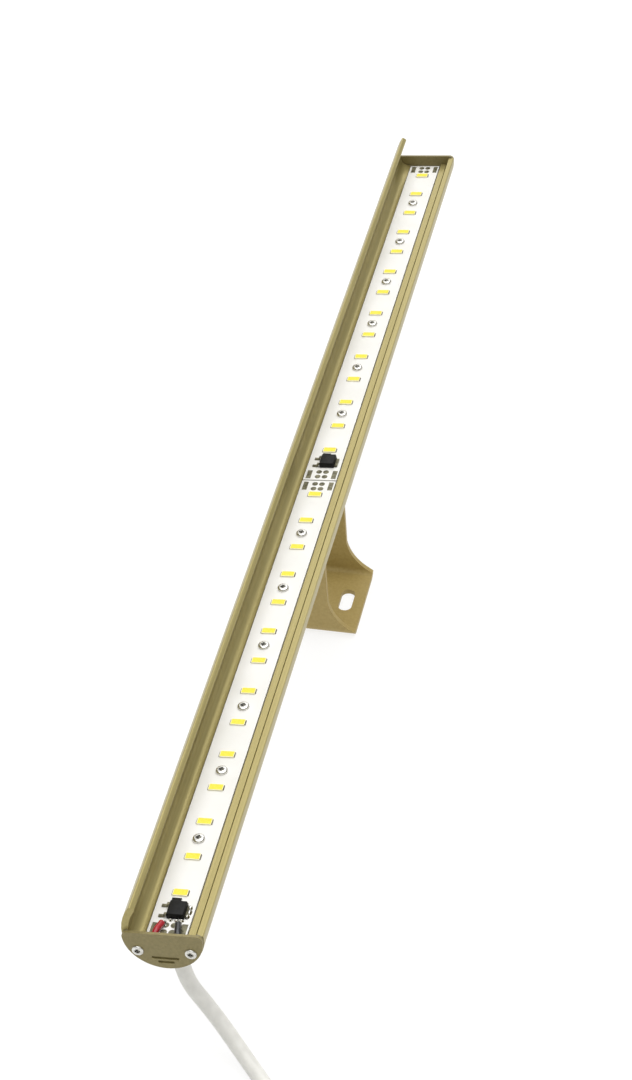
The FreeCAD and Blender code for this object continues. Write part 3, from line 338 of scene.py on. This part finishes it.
board_white = new_material("board_white", (222, 221, 217), roughness=0.5, Specular_IOR_Level=0.3)
mask_mottle = add_noise(board_white, EVEN, scale=60)
colour_by(board_white, mask_mottle, (218, 217, 212), (226, 225, 222))
mask_grain = add_noise(board_white, EVEN, scale=1500)
bump_by(board_white, mask_grain, 0.02 * MM)
dress(board_white, "led_board_near", "led_board_far")

tinned = new_material("tinned", (104, 100, 78), roughness=0.45, metallic=0.5)
tin_mottle = add_noise(tinned, EVEN, scale=700)
colour_by(tinned, tin_mottle, (76, 72, 53), (132, 128, 103), low=0.36, high=0.66)
roughness_by(tinned, tin_mottle, 0.35, 0.55)
bump_by(tinned, tin_mottle, 0.1 * MM)
dress(tinned, "solder_pads_near", "solder_pads_far", "chip_leads_near", "chip_leads_far")

# LEDs. Each is a small white housing with a cup full of yellow phosphor, a little sunk in the
# middle, and a bent terminal with its solder at each end.

LEVEL_WITHIN = 1e-6
CORNER_SEGMENTS = 3
EDGE_SEGMENTS = 2


def top_of(bm):
    return max(bm.faces, key=lambda face: face.calc_center_median().z)


def upright(edge):
    a, b = (v.co for v in edge.verts)
    return abs(a.z - b.z) > LEVEL_WITHIN


def rounded_block(x, y, z, corner):
    """A block that stands on zero, with rounded upright edges."""
    block = bmesh.new()
    bmesh.ops.create_cube(block, size=1.0)
    bmesh.ops.scale(block, vec=(x, y, z), verts=block.verts)
    bmesh.ops.translate(block, vec=(0, 0, z / 2), verts=block.verts)
    edges = [e for e in block.edges if upright(e)]
    bmesh.ops.bevel(block, geom=edges, offset=corner, segments=CORNER_SEGMENTS, profile=0.5,
                    affect="EDGES", material=-1)
    return block


LED_ALONG = 3.0 * MM
LED_ACROSS = 5.2 * MM
LED_RISE = 0.6 * MM
LED_CORNER = 0.2 * MM
CUP_WALL = 0.16 * MM
CUP_DEPTH = 0.35 * MM
CUP_FLOOR_SHARES = (0.86, 0.9)


def led_housing():
    """A block with a cup sunk into its top."""
    housing = rounded_block(LED_ALONG, LED_ACROSS, LED_RISE, LED_CORNER)
    cup = top_of(housing)
    bmesh.ops.inset_region(housing, faces=[cup], thickness=CUP_WALL)
    sunk = bmesh.ops.extrude_face_region(housing, geom=[cup])["geom"]
    bottom = [g for g in sunk if isinstance(g, bmesh.types.BMVert)]
    bmesh.ops.translate(housing, vec=(0, 0, -CUP_DEPTH), verts=bottom)
    bmesh.ops.scale(housing, vec=(*CUP_FLOOR_SHARES, 1), verts=bottom)
    housing.faces.remove(cup)
    bmesh.ops.recalc_face_normals(housing, faces=housing.faces)
    return housing


FILL_ALONG = 2.66 * MM
FILL_ACROSS = 4.86 * MM
FILL_THICKNESS = 0.32 * MM
FILL_CORNER = 0.3 * MM
FILL_BASE = 0.24 * MM
FILL_RIM = 0.35 * MM
FILL_SAG = 0.05 * MM


def phosphor_fill():
    """The phosphor in the cup, which sags inside its rim."""
    fill = rounded_block(FILL_ALONG, FILL_ACROSS, FILL_THICKNESS, FILL_CORNER)
    bmesh.ops.translate(fill, vec=(0, 0, FILL_BASE), verts=fill.verts)
    middle = top_of(fill)
    bmesh.ops.inset_region(fill, faces=[middle], thickness=FILL_RIM)
    bmesh.ops.translate(fill, vec=(0, 0, -FILL_SAG), verts=middle.verts)
    return fill


FOOT_ALONG = 2.4 * MM
FOOT_ACROSS = 0.5 * MM
FOOT_RISE = 0.42 * MM
FOOT_CORNER = 0.1 * MM
FOOT_EDGE = 0.08 * MM
FOOT_FROM_MIDDLE = 2.62 * MM


def led_feet():
    """The soldered terminals at both ends of a housing."""
    foot = rounded_block(FOOT_ALONG, FOOT_ACROSS, FOOT_RISE, FOOT_CORNER)
    top_edges = list(top_of(foot).edges)
    bmesh.ops.bevel(foot, geom=top_edges, offset=FOOT_EDGE, segments=EDGE_SEGMENTS, profile=0.5,
                    affect="EDGES", material=-1)
    ends = [Matrix.Translation((0, side * FOOT_FROM_MIDDLE, 0)) for side in (-1, 1)]
    return repeated(foot, ends)


led_white = new_material("led_white", (240, 236, 206), roughness=0.45)
led_mottle = add_noise(led_white, EVEN, scale=1200)
colour_by(led_white, led_mottle, (236, 231, 196), (246, 243, 218))

phosphor = new_material("phosphor", (250, 236, 84), roughness=0.5, Specular_IOR_Level=0.3)
phosphor_grain = add_noise(phosphor, EVEN, scale=2600, detail=2.0)
colour_by(phosphor, phosphor_grain, (226, 206, 52), (232, 222, 84))
bump_by(phosphor, phosphor_grain, 0.03 * MM)

for board, start in BOARD_STARTS.items():
    places = [on_light(start + LED_START + LED_PITCH * n, 0) for n in range(LEDS_PER_BOARD)]
    new_piece(repeated(led_housing(), places), "led_housings_" + board, led_white, "light",
              ["led_packages_" + board])
    new_piece(repeated(phosphor_fill(), places), "led_phosphor_" + board, phosphor, "light",
              ["led_windows_" + board])
    new_piece(repeated(led_feet(), places), "led_feet_" + board, tinned, "light",
              ["led_terminals_" + board])

# Driver chips. A black moulded power package near one end of each board, its metal tab and two
# leads soldered down, with a small black resistor beside it.

CHIP_ALONG = 6.6 * MM
CHIP_ACROSS = 6.1 * MM
CHIP_RISE = 2.2 * MM
CHIP_TOP_SHARE = 0.93
CHIP_EDGE = 0.22 * MM
CHIP_MIDDLE_HEIGHT = 1.2 * MM
CHIP_FROM_END = 11.2
CHIP_SIDE = 1.05


def chip_moulding():
    """A block whose sides draw in a little towards its top."""
    chip = bmesh.new()
    bmesh.ops.create_cube(chip, size=1.0)
    bmesh.ops.scale(chip, vec=(CHIP_ALONG, CHIP_ACROSS, CHIP_RISE), verts=chip.verts)
    bmesh.ops.scale(chip, vec=(CHIP_TOP_SHARE, CHIP_TOP_SHARE, 1), verts=top_of(chip).verts)
    bmesh.ops.bevel(chip, geom=chip.edges[:], offset=CHIP_EDGE, segments=EDGE_SEGMENTS, profile=0.5,
                    affect="EDGES", material=-1)
    bmesh.ops.translate(chip, vec=(0, 0, CHIP_MIDDLE_HEIGHT), verts=chip.verts)
    return chip


moulded_black = new_material("moulded_black", (12, 12, 12), roughness=0.6, Specular_IOR_Level=0.25)
moulding = add_noise(moulded_black, EVEN, scale=1300)
colour_by(moulded_black, moulding, (8, 8, 8), (18, 18, 17))
roughness_by(moulded_black, moulding, 0.5, 0.7)
bump_by(moulded_black, moulding, 0.03 * MM)
dress(moulded_black, "chip_resistor_near", "chip_resistor_far")

for board, start in BOARD_STARTS.items():
    place = on_light(start + BOARD_LENGTH - CHIP_FROM_END, CHIP_SIDE)
    new_piece(repeated(chip_moulding(), [place]), "chip_moulding_" + board, moulded_black, "light",
              ["driver_chip_" + board])

# Wires. A red and a black lead come up round the end of the near board and are soldered to its
# outer pads, each under a lump of tin. Smaller lumps lie round the power package beside them.

red_vinyl = new_material("red_vinyl", (160, 18, 34), roughness=0.35, Coat_Weight=0.3)
red_mottle = add_noise(red_vinyl, EVEN, scale=900)
colour_by(red_vinyl, red_mottle, (146, 12, 28), (174, 24, 40))
dress(red_vinyl, "wire_red")

black_vinyl = new_material("black_vinyl", (30, 31, 34), roughness=0.35, Coat_Weight=0.3)
black_mottle = add_noise(black_vinyl, EVEN, scale=900)
colour_by(black_vinyl, black_mottle, (22, 23, 26), (42, 43, 47))
dress(black_vinyl, "wire_black")

solder_bright = new_material("solder_bright", (206, 205, 198), roughness=0.16, metallic=1.0)
solder_mottle = add_noise(solder_bright, EVEN, scale=500)
colour_by(solder_bright, solder_mottle, (150, 148, 138), (232, 231, 226), low=0.36, high=0.66)
bump_by(solder_bright, solder_mottle, 0.2 * MM)

# A lump from its top to its foot: shares of its radius and of its rise.
LUMP_SHARES = ((0, 1), (0.45, 0.86), (0.7, 0.5), (0.86, 0.18), (1, 0))
LUMP_STEPS = 16
MERGE_SHARE = 0.001


def solder_lump(radius, rise):
    """A dome of solder that has flowed out thin at its foot."""
    lump = bmesh.new()
    line = [lump.verts.new((out * radius, 0, up * rise)) for out, up in LUMP_SHARES]
    edges = [lump.edges.new(pair) for pair in zip(line, line[1:])]
    bmesh.ops.spin(lump, geom=line + edges, cent=(0, 0, 0), axis=(0, 0, 1), angle=2 * math.pi,
                   steps=LUMP_STEPS, use_merge=True)
    bmesh.ops.remove_doubles(lump, verts=lump.verts, dist=radius * MERGE_SHARE)
    foot = [edge for edge in lump.edges if edge.is_boundary]
    bmesh.ops.edgeloop_fill(lump, edges=foot)
    bmesh.ops.recalc_face_normals(lump, faces=lump.faces)
    return lump


def lumps_on_board(spots, radius, rise):
    """Lumps at spots that say how far along the light, how far across, and how drawn out."""
    places = [on_light(x, y) @ Matrix.Diagonal((drawn, 1, 1, 1)) for x, y, drawn in spots]
    return repeated(solder_lump(radius, rise), places)


WIRE_SPOTS = ((241.0, -2.4, 1.35), (241.2, 2.9, 1.35))
WIRE_LUMP_RADIUS = 1.35 * MM
WIRE_LUMP_RISE = 1.5 * MM
new_piece(lumps_on_board(WIRE_SPOTS, WIRE_LUMP_RADIUS, WIRE_LUMP_RISE), "wire_solder_near",
          solder_bright, "light")

CHIP_SPOTS = ((233.2, 4.9, 1.5), (235.1, 5.1, 1.9), (237.2, 4.8, 1.4), (239.2, 3.4, 0.7),
              (239.3, 1.7, 0.8), (239.1, -0.4, 0.7), (231.3, 3.0, 0.7))
CHIP_LUMP_RADIUS = 0.85 * MM
CHIP_LUMP_RISE = 0.9 * MM
new_piece(lumps_on_board(CHIP_SPOTS, CHIP_LUMP_RADIUS, CHIP_LUMP_RISE), "chip_solder_near",
          solder_bright, "light")

# Grommet. A soft rubber sleeve in the belly's hole that the cable passes through. It seals the
# hole and keeps the cable off its edge.

grommet_rubber = new_material("grommet_rubber", (66, 66, 64), roughness=0.6)
grommet_mottle = add_noise(grommet_rubber, EVEN, scale=900)
colour_by(grommet_rubber, grommet_mottle, (56, 56, 54), (78, 78, 76))
dress(grommet_rubber, "cable_grommet")

# Cable. A round white two-core lead that leaves the belly near its end, turns along the floor and
# lies in a small tied coil beside its plug.

CABLE_RADIUS = 2.75 * MM
EXIT = (0.236, -0.000941, 0.05276)
DROP_POINTS = [
    EXIT,
    (0.236, -0.0019, 0.0337),
    (0.236, 0.00972, 0.0146),
    (0.24596, 0.02382, 0.00275),
    (0.2634, 0.0388, 0.00335),
    (0.2862, 0.0388, 0.00335),
]
COIL_START = (0.320, 0.0388, 0.00335)
HALF_TURN_RADII = (0.033, 0.0294, 0.0258, 0.0294)
CLIMBING_TURN = 2
LAYER = 0.0062
POINTS_PER_HALF_TURN = 6
TAIL_POINTS = [(0.338, 0.0388, 0.00955), (0.356, 0.0388, 0.007), (0.368, 0.0388, 0.007)]

step = math.pi / POINTS_PER_HALF_TURN
coil_points = []
edge_y = COIL_START[1]
height = COIL_START[2]
side = 1
for turn, radius in enumerate(HALF_TURN_RADII):
    middle = edge_y - side * radius
    reach = radius / math.cos(step / 2)
    climb = LAYER if turn == CLIMBING_TURN else 0.0
    for n in range(POINTS_PER_HALF_TURN):
        angle = (n + 0.5) * step
        x = COIL_START[0] + side * reach * math.sin(angle)
        y = middle + side * reach * math.cos(angle)
        coil_points.append((x, y, height + climb * (n + 0.5) / POINTS_PER_HALF_TURN))
    height += climb
    edge_y = middle - side * radius
    side = -side

line = bpy.data.curves.new("cable_line", "CURVE")
line.dimensions = "3D"
line.resolution_u = 10
route = DROP_POINTS + coil_points + TAIL_POINTS
spline = line.splines.new("NURBS")
spline.points.add(len(route) - 1)
for point, place in zip(spline.points, route):
    point.co = (*place, 1)
spline.order_u = 3
spline.use_endpoint_u = True
cable_line = bpy.data.objects.new("cable_line", line)
bpy.context.scene.collection.objects.link(cable_line)
bpy.context.view_layer.update()
centre_mesh = bpy.data.meshes.new_from_object(cable_line)
line.bevel_depth = CABLE_RADIUS
line.bevel_resolution = 6
line.use_fill_caps = True
bpy.context.view_layer.update()
depsgraph = bpy.context.evaluated_depsgraph_get()
tube = bpy.data.meshes.new_from_object(cable_line.evaluated_get(depsgraph))
bpy.data.objects.remove(cable_line)
bpy.data.meshes.remove(centre_mesh)

cable_vinyl = new_material("cable_vinyl", (212, 211, 205), roughness=0.4)
vinyl_mottle = add_noise(cable_vinyl, EVEN, scale=260)
colour_by(cable_vinyl, vinyl_mottle, (206, 205, 199), (218, 217, 211))
vinyl_grain = add_noise(cable_vinyl, EVEN, scale=1500)
bump_by(cable_vinyl, vinyl_grain, 0.03 * MM)

tube.name = "supply_cable"
tube.materials.clear()
tube.materials.append(cable_vinyl)
tube.shade_smooth()
cable = bpy.data.objects.new("supply_cable", tube)
bpy.context.scene.collection.objects.link(cable)
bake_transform(cable)
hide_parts("cable_drop", "cable_coil", "cable_tail")

# Plug and tie. A moulded two-pin plug with grip grooves and brass pins ends the cable, and a
# thin nylon strap holds the coil together.

plug_vinyl = new_material("plug_vinyl", (204, 202, 196), roughness=0.45)
plug_mottle = add_noise(plug_vinyl, EVEN, scale=900)
colour_by(plug_vinyl, plug_mottle, (197, 195, 189), (211, 209, 203))
bump_by(plug_vinyl, plug_mottle, 0.04 * MM)
dress(plug_vinyl, "connector_body")

pin_brass = new_material("pin_brass", (212, 178, 104), roughness=0.25, metallic=1.0)
pin_mottle = add_noise(pin_brass, EVEN, scale=900)
colour_by(pin_brass, pin_mottle, (200, 166, 92), (224, 192, 120))
dress(pin_brass, "connector_pins")

tie_nylon = new_material("tie_nylon", (196, 194, 186), roughness=0.4)
nylon_mottle = add_noise(tie_nylon, EVEN, scale=900)
colour_by(tie_nylon, nylon_mottle, (189, 187, 179), (203, 201, 193))
dress(tie_nylon, "cable_tie")

# Floor and lights. A pale floor with a raised edge glows, as a lit table does, so that it stays
# white round the light. A wide soft lamp stands overhead and a smaller one behind, under an
# even sky.

FLOOR_RADIUS = 24.0
FLOOR_SIDES = 64
EDGE_RISE = 6.0
floor_white = new_material("floor_white", (124, 124, 123), roughness=0.9, Emission_Strength=0.8)
floor_mottle = add_noise(floor_white, EVEN, scale=8)
colour_by(floor_white, floor_mottle, (122, 122, 121), (126, 126, 125))
floor_bm = bmesh.new()
bmesh.ops.create_circle(floor_bm, cap_ends=True, segments=FLOOR_SIDES, radius=FLOOR_RADIUS)
ring_of(floor_bm, floor_bm.edges[:], (FLOOR_RADIUS + EDGE_RISE) / FLOOR_RADIUS, -EDGE_RISE)
floor_mesh = bpy.data.meshes.new("floor")
floor_bm.to_mesh(floor_mesh)
floor_bm.free()
floor_mesh.materials.append(floor_white)
floor = bpy.data.objects.new("floor", floor_mesh)
bpy.context.scene.collection.objects.link(floor)

SKY_STRENGTH = 0.45
world = bpy.data.worlds.new("studio")
world.use_nodes = True
world.node_tree.nodes["Background"].inputs["Color"].default_value = (1, 1, 1, 1)
world.node_tree.nodes["Background"].inputs["Strength"].default_value = SKY_STRENGTH
bpy.context.scene.world = world

for lamp_name, energy, width, source in (
    ("overhead", 2.8, 68, (-0.06, 0.04, 1)),
    ("behind", 0.5, 40, (-1.25, -0.2, 1)),
):
    soft = bpy.data.lights.new(lamp_name, "SUN")
    soft.energy = energy
    soft.angle = math.radians(width)
    lamp = bpy.data.objects.new(lamp_name, soft)
    lamp.rotation_euler = (-Vector(source)).to_track_quat("-Z", "Y").to_euler()
    bpy.context.scene.collection.objects.link(lamp)

view = bpy.context.scene.view_settings
view.view_transform = "Standard"
view.look = "None"
